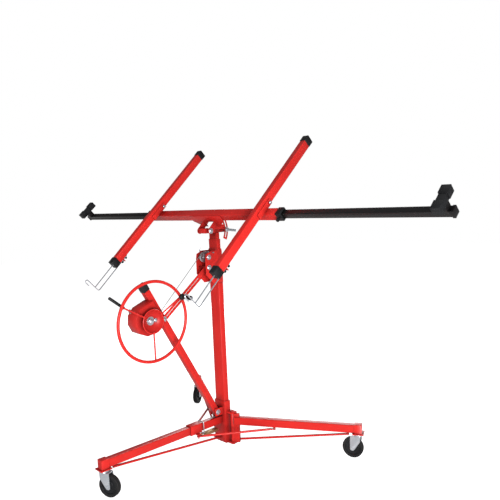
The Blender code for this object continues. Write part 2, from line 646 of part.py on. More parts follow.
def build_beam():
    side = BEAM_SIDE / 2
    beam = square_tube((-BEAM_HALF, -side, -side), (BEAM_HALF, side, side), 0, WALL, CRADLE)
    finish(beam, "cradle_beam", RED, TILT_PIN)
    inner = OUTRIGGER / 2 + RUN
    for sign, name in ((1, "right"), (-1, "left")):
        near, far = sorted((sign * (BEAM_HALF + GAP), sign * (BEAM_HALF + 0.040)))
        collar = span((near, -side - 0.002, -side - 0.002), (far, side + 0.002, side + 0.002), CRADLE)
        hole = span((near - 0.01, -inner, -inner), (far + 0.01, inner, inner), CRADLE)
        finish(cut(collar, hole), f"beam_collar_{name}", BLACK, TILT_PIN)
        middle = sign * (BEAM_HALF + 0.020)
        base = CRADLE @ Vector((middle, -side - 0.0023, 0))
        stem = CRADLE @ Vector((middle, -side - 0.012, 0))
        head = CRADLE @ Vector((middle, -side - 0.026, 0))
        knob = join(rod(base, head, 0.005), rod(stem, head, 0.010, 16))
        finish(knob, f"lock_knob_{name}", BLACK, base)


def build_outrigger(sign, name):
    side = OUTRIGGER / 2
    end = OUTRIGGER_RIGHT if sign > 0 else OUTRIGGER_LEFT
    rest = sign * (end - REST_INSET)

    def bar(first, last, half_side):
        near, far = sorted((sign * first, sign * last))
        return span((near, -half_side, -half_side), (far, half_side, half_side), CRADLE)

    tube = cut(bar(OUTRIGGER_START, end, side), bar(OUTRIGGER_START - 0.01, end - 0.010, side - WALL))
    post = span((rest - 0.015, -0.020, side - 0.002), (rest + 0.015, 0.020, 0.0485), CRADLE)
    origin = CRADLE @ Vector((sign * BEAM_HALF, 0, 0))
    finish(join(tube, bar(end - 0.004, end + 0.010, side + 0.002), post), f"outrigger_{name}", BLACK_STEEL, origin)
    crossbar = span((rest - 0.018, -0.040, 0.0490), (rest + 0.018, 0.040, 0.0840), CRADLE)
    pads = [span((rest - 0.022, v, 0.0488), (rest + 0.022, v + 0.048, 0.0880), CRADLE) for v in (-0.066, 0.026)]
    finish(join(crossbar, *pads), f"panel_rest_{name}", BLACK, origin)


ARM_BASE = BEAM_SIDE / 2 + 0.0040       # underside of the arms, above the beam's centre
ARM_MID = ARM_BASE + ARM[1] / 2
HOOK_W = ARM_BASE - 0.0095              # wire below the arm
WIRE = 0.0036


def build_arm(sign, name):
    x = sign * ARM_X
    wide = ARM[0] / 2
    low, high = ARM_LOW + CAP_LENGTH + GAP, ARM_HIGH - CAP_LENGTH - GAP
    arm = square_tube((x - wide, low, ARM_BASE), (x + wide, high, ARM_BASE + ARM[1]), 1, WALL, CRADLE)
    guide = span((x - 0.014, low + 0.030, ARM_BASE - 0.022), (x + 0.014, low + 0.034, ARM_BASE + 0.001), CRADLE)
    hole = span((x - 0.006, low + 0.02, HOOK_W - 0.006), (x + 0.006, low + 0.05, HOOK_W + 0.0055), CRADLE)
    finish(join(arm, cut(guide, hole)), f"cross_arm_{name}", RED, CRADLE @ Vector((x, 0, ARM_MID)))
    for end, label in ((ARM_LOW, "lower"), (ARM_HIGH - CAP_LENGTH, "upper")):
        cap = span((x - wide - 0.002, end, ARM_BASE - 0.002),
                   (x + wide + 0.002, end + CAP_LENGTH, ARM_BASE + ARM[1] + 0.002), CRADLE)
        if label == "lower":
            start = CRADLE @ Vector((x, ARM_LOW - 0.01, ARM_MID))
            stop = CRADLE @ Vector((x, ARM_LOW + CAP_LENGTH + 0.01, ARM_MID))
            cap = cut(cap, rod(start, stop, WIRE + 0.0006, 12))
        finish(cap, f"arm_cap_{label}_{name}", BLACK, CRADLE @ Vector((x, 0, ARM_MID)))
    base = span((x - 0.0235, -0.065, BEAM_SIDE / 2 + GAP), (x + 0.0235, 0.065, ARM_BASE - GAP), CRADLE)
    flanges = [span((x + s * 0.0220 - 0.0016, -0.065, BEAM_SIDE / 2 + GAP),
                    (x + s * 0.0220 + 0.0016, 0.065, ARM_BASE + 0.030), CRADLE) for s in (-1, 1)]
    pin_at = CRADLE @ Vector((x, 0.050, ARM_BASE + 0.012))
    pins = [rod(pin_at + Vector((s * 0.021, 0, 0)), pin_at + Vector((s * 0.030, 0, 0)), 0.007, 8)
            for s in (-1, 1)]
    finish(join(base, *flanges, *pins), f"arm_bracket_{name}", RED, CRADLE @ Vector((x, 0, 0)))


def build_hook(sign, name):
    x = sign * ARM_X
    reach = ARM_LOW - 0.180
    local = [(ARM_LOW + 0.120, ARM_MID), (reach + 0.001, ARM_MID)]
    inner = wire([CRADLE @ Vector((x, v, w)) for v, w in local], WIRE)
    bend = [(ARM_LOW + 0.110, HOOK_W), (reach + 0.012, HOOK_W), (reach + 0.003, HOOK_W + 0.003),
            (reach, HOOK_W + 0.012)]
    bend += arc((reach - 0.010, 0.120), 0.010, 0, 180, 6)
    bend.append((reach - 0.020, 0.094))
    outer = wire([CRADLE @ Vector((x, v, w)) for v, w in bend], WIRE)
    finish(join(outer, inner), f"panel_hook_{name}", ZINC, CRADLE @ Vector((x, ARM_LOW, ARM_MID)))


# ---------------------------------------------------------------- assembly
build_base_post()
build_mast()
build_front_leg()
build_sleeve()
build_latch()
for leg_side, leg_name in ((1, "right"), (-1, "left")):
    build_rear_leg(leg_side, leg_name)
    build_link(leg_side, leg_name)
build_caster("front", 0, -FRONT_REACH, 25)
for leg_side, leg_name, heading in ((1, "right", 200), (-1, "left", -60)):
    spot = rear_axes(leg_side) @ Vector((REAR_REACH, 0, 0))
    build_caster(leg_name, spot.x, spot.y, heading)
build_pulley_plates()
build_pulley()
build_cable()
build_mast_latch()
build_winch_tube()
build_housing()
build_drum()
build_hand_wheel()
build_brake()
build_strut()
build_head()
build_tilt_bracket()
build_cam_lever()
build_beam()
for arm_side, arm_name in ((1, "right"), (-1, "left")):
    build_outrigger(arm_side, arm_name)
    build_arm(arm_side, arm_name)
    build_hook(arm_side, arm_name)
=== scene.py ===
# %% [markdown]
# # A drywall lift, dressed over its working frame
#
# A drywall lift is a folding tripod with a three-stage mast, a hand winch and a tilting cradle.
# The frame already holds every tube, plate and pin at its true size, split into the bodies that
# move. This script gives each of them its finished surface: rolled edges, tyres, springs, washers,
# weld beads, and paint or plating with its own grain and wear.

# %% Load the frame
import json
import math

import bmesh
import bpy
from mathutils import Matrix, Vector


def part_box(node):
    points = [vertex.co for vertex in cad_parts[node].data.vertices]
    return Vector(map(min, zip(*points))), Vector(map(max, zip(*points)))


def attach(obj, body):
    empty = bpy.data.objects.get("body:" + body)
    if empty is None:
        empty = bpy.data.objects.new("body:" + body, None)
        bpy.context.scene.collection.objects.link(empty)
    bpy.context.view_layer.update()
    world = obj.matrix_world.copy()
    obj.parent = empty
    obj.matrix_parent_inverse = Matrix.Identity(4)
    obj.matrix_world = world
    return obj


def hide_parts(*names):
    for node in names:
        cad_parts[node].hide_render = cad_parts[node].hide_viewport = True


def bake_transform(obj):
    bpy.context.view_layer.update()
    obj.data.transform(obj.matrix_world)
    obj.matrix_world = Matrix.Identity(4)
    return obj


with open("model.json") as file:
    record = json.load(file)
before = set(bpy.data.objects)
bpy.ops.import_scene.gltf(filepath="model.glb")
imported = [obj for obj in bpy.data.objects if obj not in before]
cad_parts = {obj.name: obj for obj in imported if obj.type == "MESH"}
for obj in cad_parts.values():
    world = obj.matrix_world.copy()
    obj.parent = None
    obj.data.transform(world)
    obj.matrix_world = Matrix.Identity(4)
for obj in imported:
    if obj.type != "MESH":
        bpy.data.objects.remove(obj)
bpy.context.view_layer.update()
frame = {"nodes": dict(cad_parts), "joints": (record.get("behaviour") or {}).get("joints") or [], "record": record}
nodes = frame["nodes"]
body_of = {node: body for body, names in frame["record"]["behaviour"]["bodies"].items() for node in names}
slot_of = {part["node"]: part["material_slot"] for part in frame["record"]["subparts"]}
bpy.ops.object.select_all(action="DESELECT")

# %% [markdown]
# ## Where things are
#
# The frame's boxes and joints say where each axis lies, so no place is typed twice. The mast's
# centre line comes from the outer mast, and each hinge or slide names its own point and axis.

# %% Places taken from the frame
joints = {joint["name"]: joint for joint in frame["joints"]}


def middle(node):
    """The middle of a piece's box."""
    low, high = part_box(node)
    return (low + high) / 2


def joint_point(name):
    """The point that a hinge turns about."""
    return Vector(joints[name]["pos_m"])


def joint_axis(name):
    return Vector(joints[name]["axis"]).normalized()


MAST = middle("outer_mast")
DRUM = joint_point("winch_turn")
KNOB = joint_point("knob_spin")
TILT_PIN = joint_point("cradle_tilt")
CAM = joint_point("cam_lever_turn")
ARM_UP = joint_axis("panel_hook_right_slide")
PANEL_NORMAL = Vector((0, -ARM_UP.z, ARM_UP.y))
BEAM = middle("cradle_beam")
# Cradle axes: X along the beam, Y up the arms, Z square to the panel.
CRADLE = Matrix.Translation(BEAM) @ Matrix((
    (1, 0, 0, 0), (0, ARM_UP.y, PANEL_NORMAL.y, 0), (0, ARM_UP.z, PANEL_NORMAL.z, 0), (0, 0, 0, 1)))
print("mast at", [round(v, 3) for v in MAST], "beam at", [round(v, 3) for v in BEAM])

# %% [markdown]
# ## Camera
#
# The lift is seen from the operator's right, a little above the winch. The camera is set by its
# place, the compass direction that it looks along, and its pitch and roll, which together give
# the three axes of its matrix.

# %% Camera
FOCAL_LENGTH = 41.75
SENSOR = 36.0
CAMERA_PLACE = Vector((2.6978, -2.1133, 1.5716))
HEADING, PITCH, ROLL = (math.radians(angle) for angle in (136.383, -5.080, -2.506))

forward = Vector((math.cos(HEADING) * math.cos(PITCH), math.sin(HEADING) * math.cos(PITCH), math.sin(PITCH)))
level_right = Vector((math.sin(HEADING), -math.cos(HEADING), 0))
level_up = level_right.cross(forward)
right = level_right * math.cos(ROLL) + level_up * math.sin(ROLL)
up = level_up * math.cos(ROLL) - level_right * math.sin(ROLL)

bpy.ops.object.camera_add(location=CAMERA_PLACE)
camera = bpy.context.active_object
camera.name = "camera"
camera.matrix_world = Matrix.Translation(CAMERA_PLACE) @ Matrix((right, up, -forward)).transposed().to_4x4()
camera.data.lens = FOCAL_LENGTH
camera.data.sensor_width = SENSOR
camera.data.clip_start = 0.05
bpy.context.scene.camera = camera

# %% [markdown]
# ## Light and floor
#
# Painted tube shows its colour best in broad, soft light. A large panel on the right makes the
# faces square to the arms glow, a weaker one on the left keeps the shaded faces readable, one
# overhead draws the top edges, and one behind lights the far side. The floor is one wide white
# sheet that meets a white backdrop without a seam.

# %% Floor and lights
FLOOR_HALF = 14.0
MIRRORED_GLOW = 0.35    # how much of the white the bright plating finds in the floor
FLOOR_GLOW = 0.90      # lifts the sheet to white where it is looked at, and lights nothing


def soft_panel(name, place, target, size, power, colour=(1, 1, 1)):
    """A square area light that faces a point."""
    place, target = Vector(place), Vector(target)
    bpy.ops.object.light_add(type="AREA", location=place)
    light = bpy.context.active_object
    light.name = name
    light.rotation_euler = (target - place).to_track_quat("-Z", "Y").to_euler()
    light.data.shape = "SQUARE"
    light.data.size = size
    light.data.energy = power
    light.data.color = colour
    return light


soft_panel("key_light", (4.5, -2.8, 0.9), (0, 0, 1.2), 2.0, 330)
soft_panel("fill_light", (-2.2, -5.2, 2.4), (0, 0, 1.0), 3.5, 14)
soft_panel("top_light", (0.6, 1.2, 5.2), (0, 0, 0.8), 3.2, 16)
soft_panel("rear_light", (-3.0, 4.2, 1.8), (0, 0, 1.0), 3.0, 110)

bpy.ops.mesh.primitive_plane_add(size=2 * FLOOR_HALF, location=(0, 0, -0.0005))
floor = bpy.context.active_object
floor.name = "studio_floor"

world = bpy.data.worlds.new("studio")
world.use_nodes = True
surround = world.node_tree.nodes["Background"]
surround.inputs["Color"].default_value = (0.97, 0.98, 1.0, 1)
surround.inputs["Strength"].default_value = 0.20
backdrop = world.node_tree.nodes.new("ShaderNodeBackground")
backdrop.inputs["Color"].default_value = (1, 1, 1, 1)
backdrop.inputs["Strength"].default_value = 1.0
seen = world.node_tree.nodes.new("ShaderNodeLightPath")
choose = world.node_tree.nodes.new("ShaderNodeMixShader")
world.node_tree.links.new(seen.outputs["Is Camera Ray"], choose.inputs[0])
world.node_tree.links.new(surround.outputs[0], choose.inputs[1])
world.node_tree.links.new(backdrop.outputs[0], choose.inputs[2])
world.node_tree.links.new(choose.outputs[0], world.node_tree.nodes["World Output"].inputs["Surface"])
bpy.context.scene.world = world
bpy.context.scene.view_settings.view_transform = "Standard"

# %% [markdown]
# ## Shared effects
#
# Three effects turn up in most finishes, so each is a node group with named sockets. Edge wear
# compares the true normal with one that is rounded over a few millimetres: they differ only at
# an edge. Orange peel is the slow ripple that powder coat has after baking. Mottling is the broad,
# faint change of tone that keeps a long tube from looking like one flat colour.

# %% Node group helpers


class Wiring:
    """Adds and links the nodes of one tree, from left to right."""

    def __init__(self, tree):
        self.tree = tree

    def add(self, kind, inputs=None, **settings):
        node = self.tree.nodes.new(kind)
        node.location.x = 180 * len(self.tree.nodes)
        for key, value in settings.items():
            setattr(node, key, value)
        for key, value in (inputs or {}).items():
            if isinstance(value, bpy.types.NodeSocket):
                self.tree.links.new(value, node.inputs[key])
            else:
                node.inputs[key].default_value = value
        return node

    def math(self, operation, first, second=0.0, clamp=False):
        node = self.add("ShaderNodeMath", {0: first, 1: second}, operation=operation, use_clamp=clamp)
        return node.outputs[0]

    def mix(self, factor, first, second):
        node = self.add("ShaderNodeMix", data_type="RGBA")
        for index, value in ((0, factor), (6, first), (7, second)):
            if isinstance(value, bpy.types.NodeSocket):
                self.tree.links.new(value, node.inputs[index])
            else:
                node.inputs[index].default_value = value
        return node.outputs[2]


def new_group(name, inputs, outputs):
    """A shader node group: inputs are name and default, outputs are names, all plain values."""
    tree = bpy.data.node_groups.new(name, "ShaderNodeTree")
    for label, default in inputs:
        socket = tree.interface.new_socket(name=label, in_out="INPUT", socket_type="NodeSocketFloat")
        socket.default_value = default
    for label in outputs:
        tree.interface.new_socket(name=label, in_out="OUTPUT", socket_type="NodeSocketFloat")
    wiring = Wiring(tree)
    return tree, wiring, wiring.add("NodeGroupInput").outputs, wiring.add("NodeGroupOutput").inputs


def noise(wiring, place, scale, detail=2.0, roughness=0.5):
    inputs = {"Vector": place, "Scale": scale, "Detail": detail, "Roughness": roughness}
    return wiring.add("ShaderNodeTexNoise", inputs).outputs[0]


def object_place(wiring):
    return wiring.add("ShaderNodeTexCoord").outputs["Object"]


# %% Edge wear, orange peel and mottling
edge_wear, w, given, result = new_group(
    "edge_wear", [("Width", 0.0015), ("Breakup", 90.0), ("Amount", 0.5)], ["Mask"])
rounded = w.add("ShaderNodeBevel", {"Radius": given["Width"]}, samples=4).outputs["Normal"]
true_normal = w.add("ShaderNodeNewGeometry").outputs["Normal"]
compared = w.add("ShaderNodeVectorMath", {0: rounded, 1: true_normal}, operation="DOT_PRODUCT")
agreement = compared.outputs["Value"]
edge = w.math("MULTIPLY", w.math("SUBTRACT", 1.0, agreement), 5.0, clamp=True)
patches = noise(w, object_place(w), given["Breakup"], 4.0, 0.65)
chips = w.math("MULTIPLY", w.math("SUBTRACT", patches, 0.47), 6.0, clamp=True)
w.tree.links.new(w.math("MULTIPLY", w.math("MULTIPLY", edge, chips), given["Amount"]), result["Mask"])

orange_peel, w, given, result = new_group("orange_peel", [("Ripple", 260.0), ("Grit", 1500.0)], ["Height"])
ripple = noise(w, object_place(w), given["Ripple"], 1.0)
grit = noise(w, object_place(w), given["Grit"], 2.0)
height = w.math("ADD", w.math("MULTIPLY", ripple, 0.8), w.math("MULTIPLY", grit, 0.2))
w.tree.links.new(height, result["Height"])

mottling, w, given, result = new_group("mottling", [("Size", 5.0), ("Depth", 1.0)], ["Tone"])
broad = noise(w, object_place(w), given["Size"], 3.0)
stretched = w.math("MULTIPLY", w.math("SUBTRACT", broad, 0.35), 3.0, clamp=True)
w.tree.links.new(w.math("MULTIPLY", stretched, given["Depth"]), result["Tone"])

spangle, w, given, result = new_group("spangle", [("Size", 320.0)], ["Tone", "Height"])
cells = w.add(
    "ShaderNodeTexVoronoi", {"Vector": object_place(w), "Scale": given["Size"]}, feature="SMOOTH_F1")
w.tree.links.new(cells.outputs["Distance"], result["Height"])
w.tree.links.new(noise(w, object_place(w), given["Size"], 1.0), result["Tone"])


def effect(wiring, group, **inputs):
    """One use of a shared effect in a material."""
    node = wiring.add("ShaderNodeGroup", node_tree=group)
    for label, value in inputs.items():
        node.inputs[label].default_value = value
    return node.outputs


# %% [markdown]
# ## Finishes
#
# Every finish starts from the same shader and adds what makes it its own: the ripple and chipped
# edges of red powder coat, the cloudy sheen of bright zinc, the fine grain of moulded caps, the
# dusty tread of a rubber tyre.

# %% Finish builder


def new_finish(name, roughness, metallic=0.0, coat=0.0):
    mat = bpy.data.materials.new(name)
    mat.use_nodes = True
    wiring = Wiring(mat.node_tree)
    shader = mat.node_tree.nodes["Principled BSDF"]
    shader.inputs["Roughness"].default_value = roughness
    shader.inputs["Metallic"].default_value = metallic
    shader.inputs["Coat Weight"].default_value = coat
    shader.inputs["Coat Roughness"].default_value = 0.18
    shader.inputs["Specular IOR Level"].default_value = 0.25
    return mat, wiring, shader


def raise_surface(wiring, shader, height, distance, strength):
    inputs = {"Height": height, "Distance": distance, "Strength": strength}
    normal = wiring.add("ShaderNodeBump", inputs).outputs["Normal"]
    wiring.tree.links.new(normal, shader.inputs["Normal"])


CORNER_SHADE_REACH = 0.07       # how near another surface has to be for the painted corner shade to darken the paint
CORNER_SHADE_DEPTH = 1.6


def painted(name, light, dark, roughness, wear, bare=(0.30, 0.28, 0.27, 1), painted_shade=(0.10, 0.006, 0.006, 1)):
    """Baked powder coat: two close tones, orange peel, edges rubbed towards bare steel, painted shade near other
    surfaces.
    """
    mat, wiring, shader = new_finish(name, roughness, coat=0.04)
    tone = effect(wiring, mottling, Size=4.0, Depth=1.0)["Tone"]
    worn = effect(wiring, edge_wear, Width=0.0012, Breakup=120.0, Amount=wear)["Mask"]
    colour = wiring.mix(worn, wiring.mix(tone, light, dark), bare)
    # Painted shade: ambient occlusion darkens the colour towards the painted shade tone where other surfaces are
    # near, standing in for shade in corners and recesses.
    corner_shade = wiring.add("ShaderNodeAmbientOcclusion", {"Distance": CORNER_SHADE_REACH}, samples=6).outputs["AO"]
    corner_shade = wiring.math("POWER", corner_shade, CORNER_SHADE_DEPTH)
    colour = wiring.mix(corner_shade, painted_shade, colour)
    wiring.tree.links.new(colour, shader.inputs["Base Color"])
    rough = wiring.math("ADD", wiring.math("MULTIPLY", tone, 0.07), roughness - 0.03)
    rough = wiring.math("ADD", rough, wiring.math("MULTIPLY", worn, 0.25))
    wiring.tree.links.new(rough, shader.inputs["Roughness"])
    raise_surface(wiring, shader, effect(wiring, orange_peel)["Height"], 0.0003, 0.05)
    return mat


def plated(name, light, dark, roughness):
    """Zinc plate: metal whose tone and gloss drift a little from patch to patch."""
    mat, wiring, shader = new_finish(name, roughness, metallic=0.86)
    grain = effect(wiring, spangle, Size=330.0)
    tone = effect(wiring, mottling, Size=22.0, Depth=0.8)["Tone"]
    fine, broad = wiring.math("MULTIPLY", grain["Tone"], 0.4), wiring.math("MULTIPLY", tone, 0.6)
    clouds = wiring.math("ADD", fine, broad)
    wiring.tree.links.new(wiring.mix(clouds, light, dark), shader.inputs["Base Color"])
    rough = wiring.math("ADD", wiring.math("MULTIPLY", clouds, 0.20), roughness - 0.08)
    wiring.tree.links.new(rough, shader.inputs["Roughness"])
    raise_surface(wiring, shader, grain["Height"], 0.0002, 0.12)
    return mat


def moulded(name, light, dark, roughness, grain_size, strength):
    """Plastic or rubber: a fine moulded grain under a faint bloom of dust."""
    mat, wiring, shader = new_finish(name, roughness)
    tone = effect(wiring, mottling, Size=16.0, Depth=1.0)["Tone"]
    scuff = effect(wiring, edge_wear, Width=0.0016, Breakup=150.0, Amount=0.15)["Mask"]
    colour = wiring.mix(scuff, wiring.mix(tone, dark, light), (0.09, 0.09, 0.095, 1))
    wiring.tree.links.new(colour, shader.inputs["Base Color"])
    rough = wiring.math("ADD", wiring.math("MULTIPLY", tone, 0.14), roughness - 0.05)
    wiring.tree.links.new(rough, shader.inputs["Roughness"])
    raise_surface(wiring, shader, effect(wiring, orange_peel, Ripple=grain_size)["Height"], 0.0003, strength)
    return mat


# %% The seven finishes
# Both paints get painted shade in corners and recesses: red darkens towards a deep red, black towards near black.
RED = painted("red_paint", (0.80, 0.030, 0.024, 1), (0.72, 0.022, 0.018, 1), 0.38, 0.05)
BLACK_PAINT = painted(
    "black_paint", (0.010, 0.009, 0.010, 1), (0.014, 0.012, 0.012, 1), 0.36, 0.06,
    painted_shade=(0.004, 0.004, 0.004, 1))
ZINC = plated("bright_zinc_plate", (0.80, 0.83, 0.87, 1), (0.52, 0.55, 0.60, 1), 0.30)
BRONZE = plated("yellow_zinc_plate", (0.62, 0.40, 0.20, 1), (0.38, 0.23, 0.13, 1), 0.38)
PLASTIC = moulded("moulded_black", (0.017, 0.018, 0.020, 1), (0.009, 0.009, 0.010, 1), 0.42, 1800.0, 0.12)
RUBBER = moulded("tyre_rubber", (0.020, 0.019, 0.019, 1), (0.009, 0.009, 0.010, 1), 0.62, 1100.0, 0.2)
ROPE = plated("rope_steel", (0.62, 0.62, 0.60, 1), (0.30, 0.30, 0.29, 1), 0.40)
FINISHES = {
    "red_powder_coat": RED, "black_enamel": BLACK_PAINT, "bright_zinc": ZINC, "yellow_zinc": BRONZE,
    "black_plastic": PLASTIC, "black_rubber": RUBBER, "steel_rope": ROPE}

pale, w, shader = new_finish("floor_paper", 0.75)
tone = effect(w, mottling, Size=0.6, Depth=1.0)["Tone"]
rays = w.add("ShaderNodeLightPath").outputs
mirrored = w.math("MULTIPLY", rays["Is Glossy Ray"], MIRRORED_GLOW)
seen_directly = w.math("ADD", rays["Is Camera Ray"], mirrored, clamp=True)
sheet = w.mix(tone, (0.93, 0.93, 0.925, 1), (0.90, 0.90, 0.90, 1))
w.tree.links.new(w.mix(seen_directly, (0.34, 0.34, 0.34, 1), sheet), shader.inputs["Base Color"])
shader.inputs["Emission Color"].default_value = (1, 1, 1, 1)
glow = w.math("MULTIPLY", seen_directly, FLOOR_GLOW)
w.tree.links.new(glow, shader.inputs["Emission Strength"])
floor.data.materials.append(pale)
print(len(FINISHES), "finishes")

# %% [markdown]
# ## Rolled edges
#
# Drawn tube has round corners and cut plate has broken edges, and that thin highlight is what
# tells the eye that a piece is steel. Each piece of the frame is copied, its loose triangles are
# merged and flat faces joined, and then two bevels run: a wide one along the long corners of a
# tube, and a narrow one on whatever else is sharp. The copy then stands for the frame's piece.

# %% Helpers for selecting and finishing
LONG_EDGE = 0.22


def only(piece):
    """Makes one piece the selected and active one."""
    bpy.ops.object.select_all(action="DESELECT")
    piece.select_set(True)
    bpy.context.view_layer.objects.active = piece


def apply_modifiers(piece):
    only(piece)
    for modifier in list(piece.modifiers):
        bpy.ops.object.modifier_apply(modifier=modifier.name)


def pick_edges(piece, wanted):
    """Selects the edges that a test accepts. The piece is in edit mode."""
    bpy.ops.mesh.select_mode(type="EDGE")
    bpy.ops.mesh.select_all(action="DESELECT")
    work = bmesh.from_edit_mesh(piece.data)
    count = 0
    for edge_ in work.edges:
        edge_.select = wanted(edge_)
        count += edge_.select
    bmesh.update_edit_mesh(piece.data)
    return count


def soften_edges(piece, width, segments=2, angle=38):
    """A bevel on every edge sharper than an angle, applied, with smooth shading."""
    bevel = piece.modifiers.new("soften", "BEVEL")
    bevel.width = width
    bevel.segments = segments
    bevel.limit_method = "ANGLE"
    bevel.angle_limit = math.radians(angle)
    bevel.harden_normals = False
    apply_modifiers(piece)
    bpy.ops.object.shade_smooth_by_angle(angle=math.radians(35))


def settle(piece, body, slot):
    """Applies a piece's place, gives it its finish and hangs it on its body."""
    only(piece)
    bpy.ops.object.transform_apply(location=True, rotation=True, scale=True)
    piece.data.materials.clear()
    piece.data.materials.append(FINISHES[slot])
    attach(piece, body)
    return piece


def frame_copy(node):
    """A merged copy of a piece of the frame, with its flat faces joined."""
    piece = bpy.data.objects.new(node + "_finished", nodes[node].data.copy())
    bpy.context.scene.collection.objects.link(piece)
    only(piece)
    bpy.ops.object.mode_set(mode="EDIT")
    bpy.ops.mesh.select_all(action="SELECT")
    bpy.ops.mesh.remove_doubles(threshold=0.00002)
    bpy.ops.mesh.dissolve_limited(angle_limit=math.radians(0.5))
    bpy.ops.object.mode_set(mode="OBJECT")
    return piece


def roll_edges(node, corner=0.0, broken=0.0007):
    """Stands a copy with rolled edges in for a piece of the frame."""
    piece = frame_copy(node)
    if corner:
        bpy.ops.object.mode_set(mode="EDIT")
        count = pick_edges(piece, lambda e: e.calc_length() > LONG_EDGE and e.is_convex
                           and e.calc_face_angle(0) > 1)
        if count:
            bpy.ops.mesh.bevel(offset=corner, segments=4, affect="EDGES")
        bpy.ops.object.mode_set(mode="OBJECT")
    soften_edges(piece, broken)
    settle(piece, body_of[node], slot_of[node])
    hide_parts(node)
    return piece


# %% Tubes with round corners
TUBES = {
    "outer_mast": 0.0045, "middle_mast": 0.0040, "inner_mast": 0.0035, "front_leg": 0.0045,
    "rear_leg_right": 0.0045, "rear_leg_left": 0.0045, "winch_tube": 0.0040, "cradle_beam": 0.0050,
    "cross_arm_right": 0.0045, "cross_arm_left": 0.0045, "outrigger_right": 0.0040, "outrigger_left": 0.0040}
finished = {}
for node, corner in TUBES.items():
    finished[node] = roll_edges(node, corner, 0.0006)
print("tubes:", ", ".join(f"{node} {len(piece.data.polygons)}" for node, piece in finished.items()))

# %% Plates, bars and rods with broken edges
PLATES = {
    "base_post": 0.0009, "front_stay": 0.0012, "rear_stay_right": 0.0012, "rear_stay_left": 0.0012,
    "leg_sleeve": 0.0008, "link_rod_right": 0.0008, "link_rod_left": 0.0008, "latch_pedal": 0.0006,
    "pulley_plate_right": 0.0006, "pulley_plate_left": 0.0006, "head_bar": 0.0010,
    "tilt_bracket": 0.0006, "cam_lever": 0.0008, "brace_strut": 0.0008, "brake_lever": 0.0008,
    "arm_bracket_right": 0.0007, "arm_bracket_left": 0.0007,
    "caster_fork_front": 0.0007, "caster_fork_right": 0.0007, "caster_fork_left": 0.0007,
    "winch_housing": 0.0006, "cable_drum": 0.0008, "mast_pulley": 0.0006,
    "winch_tube_cap": 0.0025, "beam_collar_right": 0.0020, "beam_collar_left": 0.0020,
    "arm_cap_lower_right": 0.0030, "arm_cap_lower_left": 0.0030,
    "arm_cap_upper_right": 0.0030, "arm_cap_upper_left": 0.0030,
    "panel_rest_right": 0.0035, "panel_rest_left": 0.0035,
    "lock_knob_right": 0.0012, "lock_knob_left": 0.0012, "brake_grip": 0.0035}
for node, broken in PLATES.items():
    finished[node] = roll_edges(node, 0.0, broken)
print(len(finished), "pieces have rolled edges")

# %% [markdown]
# ## Casters
#
# Each caster has a rubber tyre on a grey-black core, running between two pressed fork legs. The
# tyre is turned from a short profile with a spin: a crowned tread with two shallow rings, a
# shoulder, and a stepped web. Spinning a drawn profile is quicker and cleaner than carving a
# cylinder, and the same profile serves all three wheels.

# %% Spin helper


def spin_profile(name, profile, axis_place, axis, steps=64):
    """Turns (distance along the axis, radius) points about an axis into a closed skin."""
    bpy.ops.mesh.primitive_plane_add(size=1)
    piece = bpy.context.active_object
    piece.name = piece.data.name = name
    bpy.ops.object.mode_set(mode="EDIT")
    work = bmesh.from_edit_mesh(piece.data)
    bmesh.ops.delete(work, geom=work.verts[:], context="VERTS")
    points = [work.verts.new((radius, 0, along)) for along, radius in profile]
    for first, second in zip(points, points[1:]):
        work.edges.new((first, second))
    bmesh.update_edit_mesh(piece.data)
    bpy.ops.mesh.select_all(action="SELECT")
    bpy.ops.mesh.spin(steps=steps, angle=2 * math.pi, center=(0, 0, 0), axis=(0, 0, 1))
    bpy.ops.mesh.select_all(action="SELECT")
    bpy.ops.mesh.remove_doubles(threshold=0.00001)
    bpy.ops.mesh.normals_make_consistent(inside=False)
    bpy.ops.object.mode_set(mode="OBJECT")
    turn = Vector(axis).to_track_quat("Z", "Y").to_matrix().to_4x4()
    piece.matrix_world = Matrix.Translation(axis_place) @ turn
    only(piece)
    bpy.ops.object.transform_apply(location=True, rotation=True, scale=True)
    bpy.ops.object.shade_smooth_by_angle(angle=math.radians(28))
    return piece


def ring_arc(centre, radius, first, last, steps):
    """Points of an arc in a profile, angles in degrees, (along, radius) pairs."""
    angles = [math.radians(first + (last - first) * i / steps) for i in range(steps + 1)]
    return [(centre[0] + radius * math.sin(a), centre[1] + radius * math.cos(a)) for a in angles]


def mirrored_profile(half):
    """A profile drawn from the middle outwards, with its mirror image before it."""
    return [(-along, radius) for along, radius in reversed(half)] + half[1:]


# %% Tyres, wheel cores and axle washers
WHEEL_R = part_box("caster_wheel_front")[1].z / 2
TREAD_HALF = 0.0148
tyre_half = [(0.0, WHEEL_R), (0.0030, WHEEL_R), (0.0036, WHEEL_R - 0.0012), (0.0050, WHEEL_R - 0.0012),
             (0.0056, WHEEL_R - 0.0002)]
tyre_half += ring_arc((TREAD_HALF - 0.0050, WHEEL_R - 0.0054), 0.0050, 15, 90, 5)
tyre_half += [(TREAD_HALF, WHEEL_R - 0.0120), (TREAD_HALF - 0.0012, WHEEL_R - 0.0155)]
core_half = [(0.0, 0.0478), (0.0125, 0.0478), (0.0134, 0.0470), (0.0134, 0.0448), (0.0120, 0.0436),
             (0.0065, 0.0425), (0.0060, 0.0410), (0.0060, 0.0235), (0.0072, 0.0215), (0.0160, 0.0195),
             (0.0172, 0.0185), (0.0172, 0.0090), (0.0160, 0.0056), (0.0, 0.0056)]
